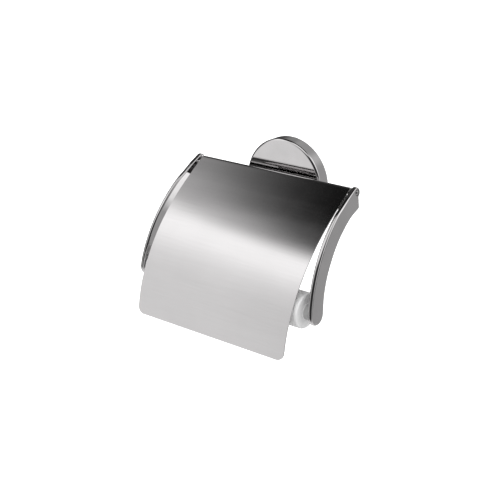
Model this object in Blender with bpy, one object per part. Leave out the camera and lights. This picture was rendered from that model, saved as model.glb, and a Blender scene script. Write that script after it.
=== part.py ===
"""Wall-mounted toilet paper holder with a curved lid: every piece is its own object.

Frame: the origin is the centre of the rosette's wall side. The wall is the plane y = 0, the holder
stands out along -Y, +Z is up and +X is to the right of a person facing the wall.
Lengths below are in millimetres; the scene is in metres.
"""

import math

import bmesh
import bpy

MM = 0.001
# Turns the facets of round cutters off the facets that they cut
CUTTER_PHASE = 0.07

# Lid sheet: the outer face of its side profile, from the rolled eye down to the lower edge
LID_HALF_WIDTH = 60.0
LID_THICKNESS = 0.7
LID_CORNER_RADIUS = 5.0
LID_PROFILE = [
    (-36.8, -0.8), (-52.2, -13.3), (-65.8, -27.7), (-76.8, -44.2), (-84.8, -62.3), (-89.3, -81.8),
]
LID_ROWS = 84
LID_CORNER_ROWS = 12
LID_EDGE = 0.16

# Hinge line of the lid
HINGE_Y = -19.8
HINGE_Z = 8.5
CURL_RADIUS = 2.3
CURL_END_DEG = -105.0
HINGE_ROD_RADIUS = 1.3
HINGE_ROD_HALF_LENGTH = 63.5
EYE_RADIUS = 3.3
EYE_BORE_RADIUS = 1.6
EYE_COUNTERBORE_RADIUS = 2.1
EYE_COUNTERBORE_DEPTH = 1.3
CAP_RADIUS = 1.8
CAP_RIM = 0.5
CAP_DOME = 1.1

# Side arms: a curved flat band with a head on top, leaning outwards towards the roller
ARM_FRONT = [
    (-28.2, 7.8), (-35.1, 3.5), (-43.3, -1.6), (-54.6, -12.3),
    (-64.1, -25.2), (-70.5, -37.9), (-74.2, -49.3), (-75.2, -55.6),
]
ARM_REAR = [
    (-61.9, -55.6), (-59.9, -45.6), (-55.9, -35.6), (-49.6, -25.6),
    (-42.7, -17.3), (-35.4, -10.9), (-27.6, -5.6), (-20.6, -2.7),
]
ARM_END_CENTRE = (-68.55, -55.6)
ARM_END_RADIUS = 6.65
ARM_HEAD_REAR_Y = -18.0
ARM_HEAD_BOTTOM_Z = -1.7
ARM_OUTER_AT_HINGE = 64.7
ARM_OUTER_SLOPE = 0.0880
ARM_INNER_AT_HINGE = 61.6
ARM_INNER_SLOPE = 0.0905
ARM_FRONT_POINTS = 36
ARM_END_POINTS = 21
ARM_EDGE_FRONT_OUTER = 1.6
ARM_EDGE_FRONT_INNER = 1.25
ARM_EDGE_ELSEWHERE = 0.7

# Crossbar joining the two heads; the closed lid rests on its upper front edge
BAR_FRONT_Y = -26.0
BAR_REAR_Y = -18.4
BAR_TOP_Z = 5.3
BAR_BOTTOM_Z = -3.0
BAR_HALF_LENGTH = 61.4
TENON_HALF_LENGTH = 63.9
TENON_Y = (-24.6, -20.8)
TENON_Z = (-0.8, 3.4)
TENON_GAP = 0.3

# Neck between the crossbar and the rosette
NECK_REAR_Y = -10.1
NECK_FRONT_Y = -18.1
NECK_HALF_SPACING = 9.0
NECK_RADIUS = 5.0

# Rosette, its stiffener and the bracket on the wall
ROSETTE_RADIUS = 30.0
ROSETTE_DEPTH = 9.8
ROSETTE_WALL = 1.0
ROSETTE_EDGE = 1.6
ROSETTE_BACK_Y = -0.4
STIFFENER_RADIUS = 21.0
STIFFENER_Y = (-8.5, -7.3)
BRACKET_RADIUS = 27.8
BRACKET_RIM_RADIUS = 22.5
BRACKET_WEB = 2.5
BRACKET_DEPTH = 5.8
BRACKET_GROOVE_Y = -3.5
BRACKET_GROOVE_DEPTH = 1.6
WALL_SCREW_Z = 14.0
WALL_SLOT_HALF_LENGTH = 3.0
GRUB_RADIUS = 1.9

# Screws that hold the frame to the rosette
FRAME_SCREW_RADIUS = 2.0
CLEARANCE_RADIUS = 2.3
FRAME_SCREW_TIP_Y = -23.6
FRAME_HEAD_RADIUS = 3.5

# Roller
ROLLER_Y = -67.8
ROLLER_Z = -55.1
SLEEVE_RADIUS = 11.4
SLEEVE_WALL = 1.3
SLEEVE_LEFT_X = -14.0
SLEEVE_RIGHT_X = 62.4
PLUNGER_RADIUS = 9.7
PLUNGER_WALL = 1.3
PLUNGER_LEFT_X = -62.4
PLUNGER_RIGHT_X = 26.0
COLLAR_LENGTH = 5.0
ROLLER_END_WALL = 1.6
SHOULDER_RADIUS = 5.2
SHOULDER_END_X = 66.3
PIN_RADIUS = 2.7
PIN_END_X = 68.2
SOCKET_RADIUS = 3.1
SOCKET_DEPTH = 1.35
SPRING_RADIUS = 6.4
SPRING_WIRE = 0.5
SPRING_TURNS = 9


def clear_scene():
    for obj in list(bpy.data.objects):
        bpy.data.objects.remove(obj, do_unlink=True)


def material(name, colour, roughness, metallic, transmission=0.0):
    mat = bpy.data.materials.new(name)
    mat.use_nodes = True
    shader = mat.node_tree.nodes["Principled BSDF"]
    shader.inputs["Base Color"].default_value = (*colour, 1.0)
    shader.inputs["Roughness"].default_value = roughness
    shader.inputs["Metallic"].default_value = metallic
    shader.inputs["Transmission Weight"].default_value = transmission
    mat.diffuse_color = (*colour, 1.0)
    return mat


def add_object(name, points, faces, mat, origin=(0.0, 0.0, 0.0), smooth_deg=30.0):
    """Makes a mesh object from points in millimetres of the shared frame, with its origin at origin."""
    mesh = bpy.data.meshes.new(name)
    bm = bmesh.new()
    verts = [bm.verts.new(tuple((p[i] - origin[i]) * MM for i in range(3))) for p in points]
    for face in faces:
        bm.faces.new([verts[i] for i in face])
    bmesh.ops.recalc_face_normals(bm, faces=bm.faces[:])
    for face in bm.faces:
        face.smooth = True
    for edge in bm.edges:
        if len(edge.link_faces) == 2 and edge.calc_face_angle(0.0) > math.radians(smooth_deg):
            edge.smooth = False
    bm.to_mesh(mesh)
    bm.free()
    obj = bpy.data.objects.new(name, mesh)
    obj.location = tuple(v * MM for v in origin)
    bpy.context.scene.collection.objects.link(obj)
    if mat is not None:
        mesh.materials.append(mat)
    return obj


def lathe(name, profile, axis, centre, mat, segments=48, origin=None, phase=0.0):
    """Turns (radius, distance along the axis) pairs into a solid. A profile that starts and ends on the
    axis is a solid body, any other profile is closed on itself into a ring. phase turns the facets."""
    points = []
    rings = []
    for radius, along in profile:
        if radius < 1e-6:
            rings.append([len(points)])
            points.append(place(axis, centre, 0.0, 0.0, along))
            continue
        ring = []
        for k in range(segments):
            angle = phase + 2.0 * math.pi * k / segments
            ring.append(len(points))
            points.append(place(axis, centre, radius * math.cos(angle), radius * math.sin(angle), along))
        rings.append(ring)
    on_axis = len(rings[0]) == 1 and len(rings[-1]) == 1
    pairs = list(zip(rings, rings[1:]))
    if not on_axis:
        pairs.append((rings[-1], rings[0]))
    faces = []
    for a, b in pairs:
        for k in range(segments):
            n = (k + 1) % segments
            if len(a) == 1:
                faces.append((a[0], b[k], b[n]))
            elif len(b) == 1:
                faces.append((a[k], a[n], b[0]))
            else:
                faces.append((a[k], a[n], b[n], b[k]))
    return add_object(name, points, faces, mat, origin or (0.0, 0.0, 0.0))


def place(axis, centre, u, v, along):
    """A point at (u, v) across an axis and along it; centre gives the two fixed coordinates."""
    if axis == "X":
        return (along, centre[0] + u, centre[1] + v)
    if axis == "Y":
        return (centre[0] + u, along, centre[1] + v)
    return (centre[0] + u, centre[1] + v, along)


def prism(name, outline, low, high, mat, axis="X", origin=None):
    """Extrudes an outline between two ends; each end is a number or a function of the outline point."""
    points = []
    for end in (low, high):
        for p in outline:
            along = end(p) if callable(end) else end
            if axis == "X":
                points.append((along, p[0], p[1]))
            else:
                points.append((p[0], along, p[1]))
    n = len(outline)
    faces = [tuple(range(n)), tuple(range(2 * n - 1, n - 1, -1))]
    for k in range(n):
        m = (k + 1) % n
        faces.append((k, m, n + m, n + k))
    return add_object(name, points, faces, mat, origin or (0.0, 0.0, 0.0))


def box(name, x, y, z, mat):
    outline = [(y[0], z[0]), (y[1], z[0]), (y[1], z[1]), (y[0], z[1])]
    return prism(name, outline, x[0], x[1], mat)


def combine(obj, tool, operation):
    modifier = obj.modifiers.new(tool.name, "BOOLEAN")
    modifier.operation = operation
    modifier.solver = "EXACT"
    modifier.object = tool
    tool.hide_render = True
    tool.display_type = "WIRE"


def round_edges(obj, width, segments=2, angle=35.0):
    modifier = obj.modifiers.new("Rounded edges", "BEVEL")
    modifier.width = width * MM
    modifier.segments = segments
    modifier.limit_method = "ANGLE"
    modifier.angle_limit = math.radians(angle)
    modifier.harden_normals = False


def smooth_line(points, count):
    """A curve through the points (Catmull-Rom on chord length), as evenly spaced points."""
    steps = [0.0]
    for a, b in zip(points, points[1:]):
        steps.append(steps[-1] + math.dist(a, b))
    slopes = []
    for k in range(len(points)):
        a = max(k - 1, 0)
        b = min(k + 1, len(points) - 1)
        slopes.append([(points[b][i] - points[a][i]) / (steps[b] - steps[a]) for i in range(2)])
    result = []
    for j in range(count):
        t = steps[-1] * j / (count - 1)
        k = max(i for i in range(len(steps) - 1) if steps[i] <= t + 1e-9)
        span = steps[k + 1] - steps[k]
        u = (t - steps[k]) / span
        h = (2 * u**3 - 3 * u**2 + 1, u**3 - 2 * u**2 + u, 3 * u**2 - 2 * u**3, u**3 - u**2)
        result.append(tuple(
            h[0] * points[k][i] + h[1] * span * slopes[k][i]
            + h[2] * points[k + 1][i] + h[3] * span * slopes[k + 1][i]
            for i in range(2)
        ))
    return result


def arc(centre, radius, start_deg, end_deg, count):
    result = []
    for j in range(count):
        angle = math.radians(start_deg + (end_deg - start_deg) * j / (count - 1))
        result.append((centre[0] + radius * math.cos(angle), centre[1] + radius * math.sin(angle)))
    return result


def lid_lines():
    """Outer and inner side profile of the lid sheet, from the rolled eye's free end to the lower edge."""
    hinge = (HINGE_Y, HINGE_Z)
    ahead = LID_PROFILE[0]
    reach = math.dist(hinge, ahead)
    towards = math.atan2(ahead[1] - hinge[1], ahead[0] - hinge[0])
    leave = math.degrees(towards - math.acos(CURL_RADIUS / reach)) % 360.0
    outer = arc(hinge, CURL_RADIUS, CURL_END_DEG, leave, 22)
    inner = arc(hinge, CURL_RADIUS - LID_THICKNESS, CURL_END_DEG, leave, 22)
    face = smooth_line([outer[-1]] + LID_PROFILE, LID_ROWS)
    under = []
    for k, point in enumerate(face):
        a = face[max(k - 1, 0)]
        b = face[min(k + 1, len(face) - 1)]
        length = math.dist(a, b)
        normal = ((b[1] - a[1]) / length, -(b[0] - a[0]) / length)
        under.append((point[0] - normal[0] * LID_THICKNESS, point[1] - normal[1] * LID_THICKNESS))
    return outer, inner, face, under


def corner_rows(face, under):
    """Spaces the rows closely beside the lower edge, and gives each row its half width."""
    total = [0.0]
    for a, b in zip(face, face[1:]):
        total.append(total[-1] + math.dist(a, b))
    start = total[-1] - LID_CORNER_RADIUS
    keep = [k for k in range(len(face)) if total[k] < start - 0.8]
    rows = [(face[k], under[k], LID_HALF_WIDTH) for k in keep]
    for j in range(LID_CORNER_ROWS + 1):
        turn = math.radians(90.0 * j / LID_CORNER_ROWS)
        along = start + LID_CORNER_RADIUS * math.sin(turn)
        k = min(max(i for i in range(len(total)) if total[i] <= along + 1e-9), len(total) - 2)
        t = (along - total[k]) / (total[k + 1] - total[k])
        half = LID_HALF_WIDTH - LID_CORNER_RADIUS * (1.0 - math.cos(turn))
        rows.append((blend(face[k], face[k + 1], t), blend(under[k], under[k + 1], t), half))
    return rows


def blend(a, b, t):
    return (a[0] + (b[0] - a[0]) * t, a[1] + (b[1] - a[1]) * t)


def make_lid(mat):
    outer, inner, face, under = lid_lines()
    rows = [(a, b, LID_HALF_WIDTH - 0.4) for a, b in zip(outer[:-1], inner[:-1])]
    rows += corner_rows(face, under)
    points = []
    for top, below, half in rows:
        points += [(-half, *top), (half, *top), (half, *below), (-half, *below)]
    faces = [(0, 1, 2, 3)]
    for k in range(len(rows) - 1):
        a = 4 * k
        b = a + 4
        for i in range(4):
            n = (i + 1) % 4
            faces.append((a + i, a + n, b + n, b + i))
    last = 4 * (len(rows) - 1)
    faces.append((last, last + 1, last + 2, last + 3))
    lid = add_object("lid_panel", points, faces, mat, (0.0, HINGE_Y, HINGE_Z))
    round_edges(lid, LID_EDGE, 2, 60.0)
    return lid


def arm_outer(point):
    return ARM_OUTER_AT_HINGE + ARM_OUTER_SLOPE * (HINGE_Z - point[1])


def arm_inner(point):
    return ARM_INNER_AT_HINGE + ARM_INNER_SLOPE * (HINGE_Z - point[1])


def arm_outline():
    outline = smooth_line(ARM_FRONT, ARM_FRONT_POINTS)
    outline += arc(ARM_END_CENTRE, ARM_END_RADIUS, 180.0, 360.0, ARM_END_POINTS)[1:-1]
    outline += smooth_line(ARM_REAR, 32)
    outline.append((ARM_HEAD_REAR_Y - 0.6, ARM_HEAD_BOTTOM_Z - 0.3))
    outline.append((ARM_HEAD_REAR_Y, ARM_HEAD_BOTTOM_Z + 0.6))
    first = -math.degrees(math.acos((ARM_HEAD_REAR_Y - HINGE_Y) / EYE_RADIUS))
    outline += arc((HINGE_Y, HINGE_Z), EYE_RADIUS, first, 114.0, 16)
    return outline


def round_arm(arm, count):
    """Rounds both rims: almost to a half circle along the front, and lightly everywhere else."""
    foot = ARM_FRONT_POINTS + ARM_END_POINTS
    weights = arm.data.attributes.new("bevel_weight_edge", "FLOAT", "EDGE")
    for edge in arm.data.edges:
        a, b = sorted(edge.vertices)
        if a < count <= b:
            continue
        radius = ARM_EDGE_ELSEWHERE
        if b - a == 1:
            full = ARM_EDGE_FRONT_OUTER if a >= count else ARM_EDGE_FRONT_INNER
            place = a % count
            share = min(1.0, (place + 1) / 5.0, max(0.0, (foot - place) / 18.0))
            radius += (full - radius) * share
        weights.data[edge.index].value = radius / ARM_EDGE_FRONT_OUTER
    round_edges(arm, ARM_EDGE_FRONT_OUTER, 6)
    arm.modifiers["Rounded edges"].limit_method = "WEIGHT"
    arm.modifiers["Rounded edges"].use_clamp_overlap = False


def make_arm(name, side, mat):
    def outer(p):
        return side * arm_outer(p)

    def inner(p):
        return side * arm_inner(p)

    outline = arm_outline()
    arm = prism(name, outline, inner, outer, mat)
    round_arm(arm, len(outline))
    hinge = (HINGE_Y, HINGE_Z)
    face = side * ARM_OUTER_AT_HINGE
    deep = face - side * EYE_COUNTERBORE_DEPTH
    bore = lathe(
        name + "_eye_cutter",
        [(0, side * 58.0), (EYE_BORE_RADIUS, side * 58.0), (EYE_BORE_RADIUS, deep),
         (EYE_COUNTERBORE_RADIUS, deep), (EYE_COUNTERBORE_RADIUS, side * 68.0), (0, side * 68.0)],
        "X", hinge, None, 24, None, CUTTER_PHASE,
    )
    combine(arm, bore, "DIFFERENCE")
    bottom = side * (arm_inner((0, ROLLER_Z)) + SOCKET_DEPTH)
    socket = lathe(
        name + "_socket_cutter",
        [(0, side * 60.0), (SOCKET_RADIUS, side * 60.0), (SOCKET_RADIUS, bottom), (0, bottom)],
        "X", (ROLLER_Y, ROLLER_Z), None, 28, None, CUTTER_PHASE,
    )
    combine(arm, socket, "DIFFERENCE")
    ends = sorted((side * 58.0, side * (TENON_HALF_LENGTH + TENON_GAP)))
    mortise = box(
        name + "_mortise_cutter", ends,
        (TENON_Y[0] - TENON_GAP, TENON_Y[1] + TENON_GAP),
        (TENON_Z[0] - TENON_GAP, TENON_Z[1] + TENON_GAP), None,
    )
    combine(arm, mortise, "DIFFERENCE")
    return arm


def make_crossbar(mat):
    bar = box(
        "crossbar", (-BAR_HALF_LENGTH, BAR_HALF_LENGTH), (BAR_FRONT_Y, BAR_REAR_Y),
        (BAR_BOTTOM_Z, BAR_TOP_Z), mat,
    )
    round_edges(bar, 0.6, 3)
    tenon = box("crossbar_tenon", (-TENON_HALF_LENGTH, TENON_HALF_LENGTH), TENON_Y, TENON_Z, None)
    combine(bar, tenon, "UNION")
    for side in (-1, 1):
        end = FRAME_SCREW_TIP_Y - 0.5
        hole = lathe(
            f"crossbar_hole_{side}",
            [(0, end), (CLEARANCE_RADIUS, end), (CLEARANCE_RADIUS, -16.0), (0, -16.0)],
            "Y", (side * NECK_HALF_SPACING, 0.0), None, 24, None, CUTTER_PHASE,
        )
        combine(bar, hole, "DIFFERENCE")
    return bar


def screw_holes(obj, front, rear):
    for side in (-1, 1):
        hole = lathe(
            f"{obj.name}_hole_{side}",
            [(0, front), (CLEARANCE_RADIUS, front), (CLEARANCE_RADIUS, rear), (0, rear)],
            "Y", (side * NECK_HALF_SPACING, 0.0), None, 24, None, CUTTER_PHASE,
        )
        combine(obj, hole, "DIFFERENCE")


def make_neck(mat):
    outline = arc((NECK_HALF_SPACING, 0.0), NECK_RADIUS, -90.0, 90.0, 21)
    outline += arc((-NECK_HALF_SPACING, 0.0), NECK_RADIUS, 90.0, 270.0, 21)
    neck = prism("rosette_neck", outline, NECK_FRONT_Y, NECK_REAR_Y, mat, "Y")
    screw_holes(neck, NECK_FRONT_Y - 2.0, NECK_REAR_Y + 2.0)
    return neck


def make_rosette(mat):
    """A deep-drawn cup, open towards the wall."""
    outer = ROSETTE_RADIUS
    inner = ROSETTE_RADIUS - ROSETTE_WALL
    front = -ROSETTE_DEPTH
    edge = arc((outer - ROSETTE_EDGE, front + ROSETTE_EDGE), ROSETTE_EDGE, -90.0, 0.0, 8)
    profile = [(0, front)] + edge + [(outer, ROSETTE_BACK_Y), (inner, ROSETTE_BACK_Y)]
    profile += [(inner, front + ROSETTE_WALL), (0, front + ROSETTE_WALL)]
    rosette = lathe("rosette_cover", profile, "Y", (0.0, 0.0), mat, 96)
    screw_holes(rosette, front - 2.0, front + 3.0)
    grub = lathe(
        "rosette_grub_cutter",
        [(0, -32.0), (GRUB_RADIUS + 0.3, -32.0), (GRUB_RADIUS + 0.3, -25.0), (0, -25.0)],
        "Z", (0.0, BRACKET_GROOVE_Y), None, 20, None, CUTTER_PHASE,
    )
    combine(rosette, grub, "DIFFERENCE")
    return rosette


def make_bracket(mat):
    r = BRACKET_RADIUS
    groove = BRACKET_GROOVE_Y
    depth = BRACKET_GROOVE_DEPTH
    bracket = lathe(
        "wall_bracket",
        [(0, 0.0), (r, 0.0), (r, groove + depth), (r - depth, groove), (r, groove - depth),
         (r, -BRACKET_DEPTH),
         (BRACKET_RIM_RADIUS, -BRACKET_DEPTH), (BRACKET_RIM_RADIUS, -BRACKET_WEB),
         (0, -BRACKET_WEB)],
        "Y", (0.0, 0.0), mat, 56,
    )
    for side in (-1, 1):
        centre_z = side * WALL_SCREW_Z
        half = WALL_SLOT_HALF_LENGTH
        outline = arc((half, centre_z), CLEARANCE_RADIUS, -90.0, 90.0, 11)
        outline += arc((-half, centre_z), CLEARANCE_RADIUS, 90.0, 270.0, 11)
        slot = prism(f"wall_slot_cutter_{side}", outline, -4.0, 2.0, None, "Y")
        combine(bracket, slot, "DIFFERENCE")
    return bracket


def cross_slots(name, screw, centre, front, depth, width, length):
    """Cuts a cross recess into a screw head that faces -Y."""
    for k, (x, z) in enumerate(((length, width), (width, length))):
        tool = box(
            f"{name}_recess_{k}", (centre[0] - x, centre[0] + x), (front - 1.0, front + depth),
            (centre[1] - z, centre[1] + z), None,
        )
        combine(screw, tool, "DIFFERENCE")


def make_wall_screw(name, z, mat):
    head = -BRACKET_WEB - 0.3
    screw = lathe(
        name,
        [(0, head - 2.3), (2.3, head - 2.2), (3.5, head - 1.3), (3.8, head), (1.9, head), (1.9, 19.0),
         (0, 23.0)],
        "Y", (0.0, z), mat, 24,
    )
    cross_slots(name, screw, (0.0, z), head - 2.3, 1.2, 0.4, 1.9)
    return screw


def make_frame_screw(name, side, mat):
    under = STIFFENER_Y[1] + 0.3
    centre = (side * NECK_HALF_SPACING, 0.0)
    screw = lathe(
        name,
        [(0, FRAME_SCREW_TIP_Y), (1.5, FRAME_SCREW_TIP_Y), (FRAME_SCREW_RADIUS, FRAME_SCREW_TIP_Y + 0.6),
         (FRAME_SCREW_RADIUS, under), (FRAME_HEAD_RADIUS, under), (FRAME_HEAD_RADIUS, under + 1.6),
         (2.6, under + 2.4), (0, under + 2.5)],
        "Y", centre, mat, 24,
    )
    for k, (x, z) in enumerate(((1.9, 0.4), (0.4, 1.9))):
        tool = box(
            f"{name}_recess_{k}", (centre[0] - x, centre[0] + x), (under + 1.3, under + 4.0), (-z, z), None,
        )
        combine(screw, tool, "DIFFERENCE")
    return screw


def make_grub(mat):
    tip = -(BRACKET_RADIUS - BRACKET_GROOVE_DEPTH) - 0.4
    head = -(ROSETTE_RADIUS - 0.4)
    grub = lathe(
        "rosette_grub_screw",
        [(0, tip), (GRUB_RADIUS, tip - 1.4), (GRUB_RADIUS, head), (0, head)],
        "Z", (0.0, BRACKET_GROOVE_Y), mat, 24,
    )
    socket = lathe(
        "grub_socket_cutter", [(0, head - 1.4), (1.05, head - 1.4), (1.05, head + 1.3), (0, head + 1.3)],
        "Z", (0.0, BRACKET_GROOVE_Y), None, 6, None, CUTTER_PHASE,
    )
    combine(grub, socket, "DIFFERENCE")
    return grub


def make_hinge_rod(mat):
    half = HINGE_ROD_HALF_LENGTH
    r = HINGE_ROD_RADIUS
    return lathe(
        "lid_hinge_rod",
        [(0, -half), (r - 0.2, -half), (r, -half + 0.2), (r, half - 0.2), (r - 0.2, half), (0, half)],
        "X", (HINGE_Y, HINGE_Z), mat, 24, (0.0, HINGE_Y, HINGE_Z),
    )


def make_hinge_cap(name, side, mat):
    """A domed plug in the outer end of the arm's eye."""
    start = HINGE_ROD_HALF_LENGTH + 0.3
    profile = [(0, side * start), (CAP_RADIUS, side * start)]
    for radius, rise in arc((0.0, 0.0), 1.0, 0.0, 90.0, 7)[:-1]:
        profile.append((CAP_RADIUS * radius, side * (start + CAP_RIM + CAP_DOME * rise)))
    profile.append((0, side * (start + CAP_RIM + CAP_DOME)))
    return lathe(name, profile, "X", (HINGE_Y, HINGE_Z), mat, 28, (0.0, HINGE_Y, HINGE_Z))


def make_sleeve(mat):
    """The larger half: a tube open to the left, its right end closed and carrying a pin."""
    r = SLEEVE_RADIUS
    bore = SLEEVE_RADIUS - SLEEVE_WALL
    a = SLEEVE_LEFT_X
    b = SLEEVE_RIGHT_X
    return lathe(
        "roller_sleeve",
        [(0, b - ROLLER_END_WALL), (bore, b - ROLLER_END_WALL), (bore, a), (r - 0.4, a), (r, a + 0.4),
         (r, b - 1.2), (r - 0.4, b - 0.4), (r - 1.2, b), (SHOULDER_RADIUS, b),
         (SHOULDER_RADIUS, SHOULDER_END_X), (PIN_RADIUS, SHOULDER_END_X), (PIN_RADIUS, PIN_END_X - 0.4),
         (PIN_RADIUS - 0.4, PIN_END_X), (0, PIN_END_X)],
        "X", (ROLLER_Y, ROLLER_Z), mat, 60, (0.0, ROLLER_Y, ROLLER_Z),
    )


def make_plunger(mat):
    """The smaller half: it slides inside the sleeve, and its collar is as wide as the sleeve."""
    r = PLUNGER_RADIUS
    bore = PLUNGER_RADIUS - PLUNGER_WALL
    a = PLUNGER_LEFT_X
    b = PLUNGER_RIGHT_X
    collar = a + COLLAR_LENGTH
    return lathe(
        "roller_plunger",
        [(0, a + ROLLER_END_WALL), (bore, a + ROLLER_END_WALL), (bore, b), (r - 0.3, b), (r, b - 0.3),
         (r, collar),
         (SLEEVE_RADIUS - 0.4, collar), (SLEEVE_RADIUS, collar - 0.4), (SLEEVE_RADIUS, a + 1.2),
         (SLEEVE_RADIUS - 0.4, a + 0.4), (SLEEVE_RADIUS - 1.2, a), (SHOULDER_RADIUS, a),
         (SHOULDER_RADIUS, -SHOULDER_END_X), (PIN_RADIUS, -SHOULDER_END_X), (PIN_RADIUS, -PIN_END_X + 0.4),
         (PIN_RADIUS - 0.4, -PIN_END_X), (0, -PIN_END_X)],
        "X", (ROLLER_Y, ROLLER_Z), mat, 60, (0.0, ROLLER_Y, ROLLER_Z),
    )


def make_spring(mat):
    """A round wire wound about the roller's axis, with a nearly flat last turn at each end."""
    start = PLUNGER_LEFT_X + ROLLER_END_WALL + 0.4
    end = SLEEVE_RIGHT_X - ROLLER_END_WALL - 0.4
    per_turn = 16
    count = SPRING_TURNS * per_turn + 1
    sides = 6
    flat = 0.06
    points = []
    for k in range(count):
        u = k / (count - 1)
        if u < flat:
            reach = 0.01 * u / flat
        elif u > 1.0 - flat:
            reach = 0.99 + 0.01 * (u - 1.0 + flat) / flat
        else:
            reach = 0.01 + 0.98 * (u - flat) / (1.0 - 2.0 * flat)
        along = start + SPRING_WIRE + (end - start - 2.0 * SPRING_WIRE) * reach
        turn = 2.0 * math.pi * SPRING_TURNS * u
        for j in range(sides):
            angle = 2.0 * math.pi * j / sides
            radius = SPRING_RADIUS + SPRING_WIRE * math.cos(angle)
            points.append((
                along + SPRING_WIRE * math.sin(angle),
                ROLLER_Y + radius * math.cos(turn),
                ROLLER_Z + radius * math.sin(turn),
            ))
    faces = [tuple(range(sides)), tuple(range(sides * (count - 1), sides * count))]
    for k in range(count - 1):
        a = sides * k
        b = a + sides
        for j in range(sides):
            n = (j + 1) % sides
            faces.append((a + j, a + n, b + n, b + j))
    return add_object("roller_spring", points, faces, mat, (0.0, ROLLER_Y, ROLLER_Z))


def main():
    clear_scene()
    polished = material("chrome_polished", (0.78, 0.79, 0.80), 0.08, 1.0)
    satin = material("chrome_satin", (0.74, 0.75, 0.76), 0.22, 1.0)
    steel = material("zinc_steel", (0.56, 0.57, 0.58), 0.38, 1.0)
    spring_steel = material("spring_steel", (0.42, 0.42, 0.43), 0.32, 1.0)
    plastic = material("white_plastic", (0.86, 0.87, 0.88), 0.28, 0.0, 0.35)

    make_bracket(steel)
    make_wall_screw("wall_screw_upper", WALL_SCREW_Z, steel)
    make_wall_screw("wall_screw_lower", -WALL_SCREW_Z, steel)
    make_rosette(polished)
    make_grub(steel)
    stiffener = lathe(
        "rosette_stiffener",
        [(0, STIFFENER_Y[0]), (STIFFENER_RADIUS, STIFFENER_Y[0]), (STIFFENER_RADIUS, STIFFENER_Y[1]),
         (0, STIFFENER_Y[1])],
        "Y", (0.0, 0.0), steel, 40,
    )
    screw_holes(stiffener, STIFFENER_Y[0] - 2.0, STIFFENER_Y[1] + 2.0)
    make_neck(polished)
    make_frame_screw("frame_screw_left", -1, steel)
    make_frame_screw("frame_screw_right", 1, steel)
    make_crossbar(polished)
    make_arm("left_arm", -1, polished)
    make_arm("right_arm", 1, polished)
    make_lid(satin)
    make_hinge_rod(steel)
    make_hinge_cap("hinge_cap_left", -1, polished)
    make_hinge_cap("hinge_cap_right", 1, polished)
    make_sleeve(plastic)
    make_plunger(plastic)
    make_spring(spring_steel)


main()
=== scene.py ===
"""Looks of the wall-mounted toilet paper holder: materials, light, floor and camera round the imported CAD."""

import math

import bpy
from mathutils import Matrix, Vector


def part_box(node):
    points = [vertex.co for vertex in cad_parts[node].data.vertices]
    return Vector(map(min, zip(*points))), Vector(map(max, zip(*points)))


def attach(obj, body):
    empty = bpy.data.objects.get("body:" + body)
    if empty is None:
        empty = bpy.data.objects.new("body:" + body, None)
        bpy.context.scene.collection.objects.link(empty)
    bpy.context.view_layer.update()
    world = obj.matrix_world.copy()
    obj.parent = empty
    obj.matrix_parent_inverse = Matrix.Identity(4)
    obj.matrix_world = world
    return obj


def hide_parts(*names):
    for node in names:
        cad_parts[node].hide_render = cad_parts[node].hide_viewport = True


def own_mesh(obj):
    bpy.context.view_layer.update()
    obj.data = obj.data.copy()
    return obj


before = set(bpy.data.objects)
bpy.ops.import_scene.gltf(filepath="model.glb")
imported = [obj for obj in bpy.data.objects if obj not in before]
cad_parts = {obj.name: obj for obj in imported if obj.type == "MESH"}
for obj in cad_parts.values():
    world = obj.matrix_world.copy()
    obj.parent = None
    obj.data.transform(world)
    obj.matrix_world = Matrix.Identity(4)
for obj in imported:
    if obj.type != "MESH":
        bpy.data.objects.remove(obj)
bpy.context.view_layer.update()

# Facets are joined into smooth faces, except where two of them meet at a sharper angle than this
WELD_DISTANCE = 1e-6
SHARP_EDGE_DEG = 48.0

CHROME_NODES = ("left_arm", "right_arm", "rosette_cover")
# Painted shade: these pieces get a darker copy of the polished chrome, standing in for the shade on them
SHADED_CHROME_NODES = ("crossbar", "rosette_neck", "hinge_cap_left", "hinge_cap_right")
ZINC_NODES = (
    "wall_bracket", "wall_screw_upper", "wall_screw_lower", "rosette_stiffener",
    "frame_screw_left", "frame_screw_right", "rosette_grub_screw",
)
PLASTIC_NODES = ("roller_sleeve", "roller_plunger")
SPRING_NODE = "roller_spring"

# Brightness of the studio by elevation in degrees
SKY = [
    (-90, 0.91), (-20, 0.915), (-8, 0.97), (0, 0.98), (18, 1.0), (26, 1.10), (31, 1.24), (36, 1.42),
    (41, 1.48), (43.5, 1.40), (45, 1.18), (46.5, 0.89), (48, 0.68), (49.5, 0.60), (51, 0.46), (53, 0.23),
    (55, 0.08), (57, 0.015), (59, 0.006), (90, 0.004),
]
# Soft round areas laid over it: azimuth, elevation, radius of the even part, radius of the edge, brightness
AREAS = [
    (88, 32, 24, 42, 1.5),
    (38, 8, 30, 78, 0.03),
    (-55, 57, 0.5, 10.6, 0.05),
    (145, -12, 28, 50, 0.42),
    (-165, 20, 25, 48, 0.42),
    (-105, -2, 34, 52, 0.05),
    (-125, 40, 19, 29, 0.05),
    (141, -23, 1.2, 2.6, 1.3),
    (5, 62, 14, 27, 1.2),
    (120, -6, 5, 12, 0.06),
    (-64, -8, 9, 22, 0.05),
]
SKY_PEAK = 1.5
# Soft light that falls on surfaces that are not mirrors, from straight below and from straight above
DIFFUSE_BELOW = 0.7
DIFFUSE_ABOVE = 1.3
# The roller's end faces lie this far inside the tips of its pins
ROLLER_END_INSET = 0.0060
# Painted shade: the pins are painted grey between these distances beyond the end faces, for the shade where
# they sit against the arms
PIN_SHADE_START = 0.0002
PIN_SHADE_FULL = 0.0012

# Faint warm tint of the metals: red, green, blue
METAL_TINT = (1.01, 0.99, 0.994)

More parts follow.
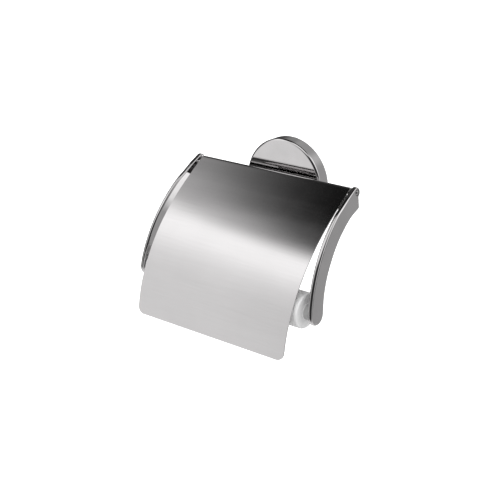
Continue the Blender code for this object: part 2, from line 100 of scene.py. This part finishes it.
FLOOR_Z = -0.30
FLOOR_HALF_SIZE = 12.0
CAMERA_AZIMUTH = 38.19
CAMERA_ELEVATION = 20.65
CAMERA_PLACE = (0.3983, -0.5510, 0.2059)
CAMERA_LENS = 76.24
CAMERA_SENSOR = 36.0
CAMERA_NEAR = 0.01
CAMERA_FAR = 50.0


# ---------------------------------------------------------------- node helpers


class Graph:
    """Adds nodes to one tree. An input is given as a number, a colour, or another node's output."""

    def __init__(self, tree):
        self.tree = tree
        tree.nodes.clear()

    def add(self, kind, inputs=None, **settings):
        node = self.tree.nodes.new(kind)
        for name, value in settings.items():
            setattr(node, name, value)
        for key, value in (inputs or {}).items():
            self.put(node, key, value)
        return node

    def put(self, node, key, value):
        if isinstance(value, bpy.types.NodeSocket):
            self.tree.links.new(value, node.inputs[key])
        else:
            node.inputs[key].default_value = value

    def maths(self, operation, a, b=0.0):
        return self.add("ShaderNodeMath", {0: a, 1: b}, operation=operation).outputs[0]

    def remap(self, value, low, high, out_low, out_high, smooth=False):
        inputs = {"Value": value, "From Min": low, "From Max": high, "To Min": out_low, "To Max": out_high}
        kind = "SMOOTHSTEP" if smooth else "LINEAR"
        return self.add("ShaderNodeMapRange", inputs, interpolation_type=kind).outputs["Result"]

    def spread(self, noise, out_low=0.0, out_high=1.0):
        """Noise, which lies mostly between 0.3 and 0.7, stretched to that range."""
        return self.remap(noise, 0.3, 0.7, out_low, out_high)

    def noise(self, where, scale, detail=3.0, stretch=(1.0, 1.0, 1.0)):
        """Noise of that many cells per metre, stretched along the axes."""
        vector = self.add("ShaderNodeVectorMath", {0: where, 1: stretch}, operation="MULTIPLY").outputs[0]
        return self.add(
            "ShaderNodeTexNoise", {"Vector": vector, "Scale": scale, "Detail": detail}
        ).outputs["Fac"]

    def mix(self, share, a, b):
        node = self.add("ShaderNodeMix", data_type="RGBA")
        for index, value in ((0, share), (6, a), (7, b)):
            self.put(node, index, value)
        return node.outputs[2]


def new_material(name, values):
    """A material with a Principled shader whose uniform values are set on its own sockets."""
    mat = bpy.data.materials.new(name)
    mat.use_nodes = True
    graph = Graph(mat.node_tree)
    where = graph.add("ShaderNodeTexCoord").outputs["Object"]
    shader = graph.add("ShaderNodeBsdfPrincipled", values)
    graph.add("ShaderNodeOutputMaterial", {"Surface": shader.outputs[0]})
    return mat, graph, where, shader


def rgba(grey):
    return (grey, grey, grey, 1.0)


def metal(grey):
    return tuple(grey * share for share in METAL_TINT) + (1.0,)


# ---------------------------------------------------------------- materials


def polished_chrome(name, dark, light):
    """Bright plating with faint smears, hairlines and a very slight waviness."""
    mat, graph, where, shader = new_material(name, {"Metallic": 1.0})
    cloud = graph.noise(where, 60.0, 4.0)
    tone = graph.mix(graph.spread(cloud), metal(dark), metal(light))
    smear = graph.noise(where, 110.0, 6.0)
    roughness = graph.remap(smear, 0.35, 0.75, 0.035, 0.085)
    wave = graph.noise(where, 55.0, 2.0)
    hairline = graph.noise(where, 900.0, 2.0, (1.0, 0.12, 0.12))
    bend = graph.add("ShaderNodeBump", {"Strength": 0.25, "Distance": 0.00012, "Height": wave})
    scratch = graph.add(
        "ShaderNodeBump",
        {"Strength": 0.05, "Distance": 0.00002, "Height": hairline, "Normal": bend.outputs[0]},
    )
    graph.put(shader, "Base Color", tone)
    graph.put(shader, "Roughness", roughness)
    graph.put(shader, "Normal", scratch.outputs[0])
    return mat


def satin_steel():
    """Stainless sheet with a fine grain across its width."""
    mat, graph, where, shader = new_material("satin_steel", {"Metallic": 1.0})
    cloud = graph.noise(where, 22.0, 3.0)
    grain = graph.noise(where, 2600.0, 3.0, (0.012, 1.0, 1.0))
    coarse = graph.noise(where, 420.0, 2.0, (0.03, 1.0, 1.0))
    tone = graph.mix(graph.spread(cloud), metal(0.605), metal(0.635))
    streak = graph.mix(graph.spread(grain), rgba(0.96), rgba(1.0))
    colour = graph.add("ShaderNodeMix", data_type="RGBA", blend_type="MULTIPLY")
    for index, value in ((0, 1.0), (6, tone), (7, streak)):
        graph.put(colour, index, value)
    smear = graph.noise(where, 70.0, 5.0)
    roughness = graph.maths(
        "ADD", graph.remap(smear, 0.3, 0.75, 0.085, 0.115), graph.spread(coarse, -0.004, 0.006)
    )
    bump = graph.add("ShaderNodeBump", {"Strength": 0.08, "Distance": 0.00002, "Height": grain})
    graph.put(shader, "Base Color", colour.outputs[2])
    graph.put(shader, "Roughness", roughness)
    graph.put(shader, "Normal", bump.outputs[0])
    return mat


def zinc_plate():
    """Zinc-plated steel, a little cloudy and bluish."""
    mat, graph, where, shader = new_material("zinc_plate", {"Metallic": 1.0})
    cloud = graph.noise(where, 160.0, 5.0)
    tone = graph.mix(graph.spread(cloud), (0.40, 0.41, 0.43, 1), (0.58, 0.59, 0.60, 1))
    grain = graph.noise(where, 2500.0, 3.0)
    bump = graph.add("ShaderNodeBump", {"Strength": 0.2, "Distance": 0.00004, "Height": grain})
    graph.put(shader, "Base Color", tone)
    graph.put(shader, "Roughness", graph.spread(cloud, 0.26, 0.42))
    graph.put(shader, "Normal", bump.outputs[0])
    return mat


def drawn_wire(name, dark, light, roughness):
    """Drawn round steel with lines along its length."""
    mat, graph, where, shader = new_material(name, {"Metallic": 1.0})
    line = graph.noise(where, 1500.0, 3.0, (0.02, 1.0, 1.0))
    tone = graph.mix(graph.spread(line), metal(dark), metal(light))
    graph.put(shader, "Base Color", tone)
    graph.put(shader, "Roughness", graph.spread(line, roughness - 0.05, roughness + 0.06))
    bump = graph.add("ShaderNodeBump", {"Strength": 0.1, "Distance": 0.00003, "Height": line})
    graph.put(shader, "Normal", bump.outputs[0])
    return mat


def milky_plastic():
    """Moulded white polypropylene that lets a little light through."""
    values = {
        "IOR": 1.49, "Subsurface Weight": 0.35, "Subsurface Radius": (0.004, 0.004, 0.004),
        "Subsurface Scale": 1.0,
    }
    mat, graph, where, shader = new_material("milky_plastic", values)
    cloud = graph.noise(where, 90.0, 3.0)
    tone = graph.mix(graph.spread(cloud), rgba(0.86), rgba(0.88))
    along = graph.maths("ABSOLUTE", graph.add("ShaderNodeSeparateXYZ", {0: where}).outputs["X"])
    end_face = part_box("roller_sleeve")[1].x - ROLLER_END_INSET
    # Painted shade: the pins beyond the end faces turn grey, standing in for the shade beside the arms
    pin_shade = graph.remap(along, end_face + PIN_SHADE_START, end_face + PIN_SHADE_FULL, 0.0, 1.0)
    tone = graph.mix(pin_shade, tone, rgba(0.38))
    fine = graph.noise(where, 1800.0, 4.0)
    bump = graph.add("ShaderNodeBump", {"Strength": 0.12, "Distance": 0.00003, "Height": fine})
    graph.put(shader, "Base Color", tone)
    graph.put(shader, "Roughness", graph.spread(cloud, 0.27, 0.33))
    graph.put(shader, "Normal", bump.outputs[0])
    return mat


# ---------------------------------------------------------------- pieces


def refine(obj, mat):
    """Gives a piece its finish, and joins its facets so that curved faces shade smoothly."""
    for polygon in obj.data.polygons:
        polygon.use_smooth = True
    weld = obj.modifiers.new("Joined facets", "WELD")
    weld.merge_threshold = WELD_DISTANCE
    split = obj.modifiers.new("Sharp edges", "EDGE_SPLIT")
    split.split_angle = math.radians(SHARP_EDGE_DEG)
    weighted = obj.modifiers.new("Even shading", "WEIGHTED_NORMAL")
    weighted.keep_sharp = False
    obj.data.materials.clear()
    obj.data.materials.append(mat)


def make_spring(mat):
    """The roller's spring, carried with the roller."""
    coil = bpy.data.objects.new("roller_spring_coil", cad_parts[SPRING_NODE].data.copy())
    bpy.context.scene.collection.objects.link(coil)
    refine(coil, mat)
    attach(coil, "roller")
    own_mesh(coil)
    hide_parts(SPRING_NODE)


# ---------------------------------------------------------------- light, floor, camera


def direction(azimuth, elevation):
    """Azimuth 0 is straight out from the wall, 90 is to the right; elevation is above the horizon."""
    a = math.radians(azimuth)
    e = math.radians(elevation)
    return Vector((math.sin(a) * math.cos(e), -math.cos(a) * math.cos(e), math.sin(e)))


def make_world():
    world = bpy.data.worlds.new("studio")
    bpy.context.scene.world = world
    world.use_nodes = True
    graph = Graph(world.node_tree)
    where = graph.add("ShaderNodeTexCoord").outputs["Generated"]
    unit = graph.add("ShaderNodeVectorMath", {0: where}, operation="NORMALIZE").outputs[0]
    height = graph.add("ShaderNodeSeparateXYZ", {0: unit}).outputs["Z"]
    ramp = graph.add("ShaderNodeValToRGB", {0: graph.remap(height, -1.0, 1.0, 0.0, 1.0)})
    stops = ramp.color_ramp.elements
    while len(stops) < len(SKY):
        stops.new(0.5)
    for stop, (elevation, brightness) in zip(stops, SKY):
        stop.position = 0.5 + 0.5 * math.sin(math.radians(elevation))
        stop.color = rgba(brightness / SKY_PEAK)
    light = graph.maths("MULTIPLY", ramp.outputs[0], SKY_PEAK)
    for azimuth, elevation, inner, outer, brightness in AREAS:
        towards = graph.add(
            "ShaderNodeVectorMath", {0: unit, 1: direction(azimuth, elevation)}, operation="DOT_PRODUCT"
        ).outputs["Value"]
        share = graph.remap(
            towards, math.cos(math.radians(outer)), math.cos(math.radians(inner)), 0.0, 1.0, smooth=True
        )
        mixed = graph.add("ShaderNodeMix", data_type="FLOAT")
        for index, value in ((0, share), (2, light), (3, brightness)):
            graph.put(mixed, index, value)
        light = mixed.outputs[0]
    path = graph.add("ShaderNodeLightPath").outputs
    diffuse = graph.remap(height, -1.0, 1.0, DIFFUSE_BELOW, DIFFUSE_ABOVE)
    for ray, strength in (("Is Diffuse Ray", diffuse), ("Is Camera Ray", 1.0)):
        shown = graph.add("ShaderNodeMix", data_type="FLOAT")
        for index, value in ((0, path[ray]), (2, light), (3, strength)):
            graph.put(shown, index, value)
        light = shown.outputs[0]
    background = graph.add("ShaderNodeBackground", {"Color": rgba(1.0), "Strength": light})
    graph.add("ShaderNodeOutputWorld", {"Surface": background.outputs[0]})


def make_floor():
    """A pale floor under the object. Polished metal reflects the studio's own lower half instead."""
    size = FLOOR_HALF_SIZE
    mesh = bpy.data.meshes.new("floor")
    corners = [(x * size, y * size, FLOOR_Z) for x, y in ((-1, -1), (1, -1), (1, 1), (-1, 1))]
    mesh.from_pydata(corners, [], [(0, 1, 2, 3)])
    floor = bpy.data.objects.new("floor", mesh)
    bpy.context.scene.collection.objects.link(floor)
    mat, graph, where, shader = new_material("pale_floor", {"Roughness": 0.8, "Specular IOR Level": 0.0})
    cloud = graph.noise(where, 3.0, 2.0)
    graph.put(shader, "Base Color", graph.mix(cloud, rgba(0.90), rgba(0.93)))
    graph.put(shader, "Emission Color", rgba(1.0))
    graph.put(shader, "Emission Strength", 0.6)
    mesh.materials.append(mat)
    floor.visible_glossy = False
    floor.visible_diffuse = False


def make_camera():
    data = bpy.data.cameras.new("camera")
    data.sensor_width = CAMERA_SENSOR
    data.lens = CAMERA_LENS
    data.clip_start = CAMERA_NEAR
    data.clip_end = CAMERA_FAR
    camera = bpy.data.objects.new("camera", data)
    bpy.context.scene.collection.objects.link(camera)
    back = direction(CAMERA_AZIMUTH, CAMERA_ELEVATION)
    right = direction(CAMERA_AZIMUTH + 90.0, 0.0)
    turn = Matrix((right, back.cross(right), back)).transposed().to_4x4()
    camera.matrix_world = Matrix.Translation(CAMERA_PLACE) @ turn
    bpy.context.scene.camera = camera


chrome = polished_chrome("polished_chrome", dark=0.60, light=0.66)
# Painted shade: the same polished chrome with a darker colour, for pieces that lie in shade
shaded_chrome = polished_chrome("shaded_chrome", dark=0.34, light=0.42)
zinc = zinc_plate()
plastic = milky_plastic()
finishes = {
    "lid_panel": satin_steel(),
    "lid_hinge_rod": drawn_wire("rod_steel", dark=0.50, light=0.60, roughness=0.22),
}
finishes.update(dict.fromkeys(CHROME_NODES, chrome))
finishes.update(dict.fromkeys(SHADED_CHROME_NODES, shaded_chrome))
finishes.update(dict.fromkeys(ZINC_NODES, zinc))
finishes.update(dict.fromkeys(PLASTIC_NODES, plastic))
for node, finish in finishes.items():
    refine(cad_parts[node], finish)
make_spring(drawn_wire("spring_steel", dark=0.30, light=0.42, roughness=0.30))

make_world()
make_floor()
make_camera()
bpy.context.scene.view_settings.view_transform = "Standard"
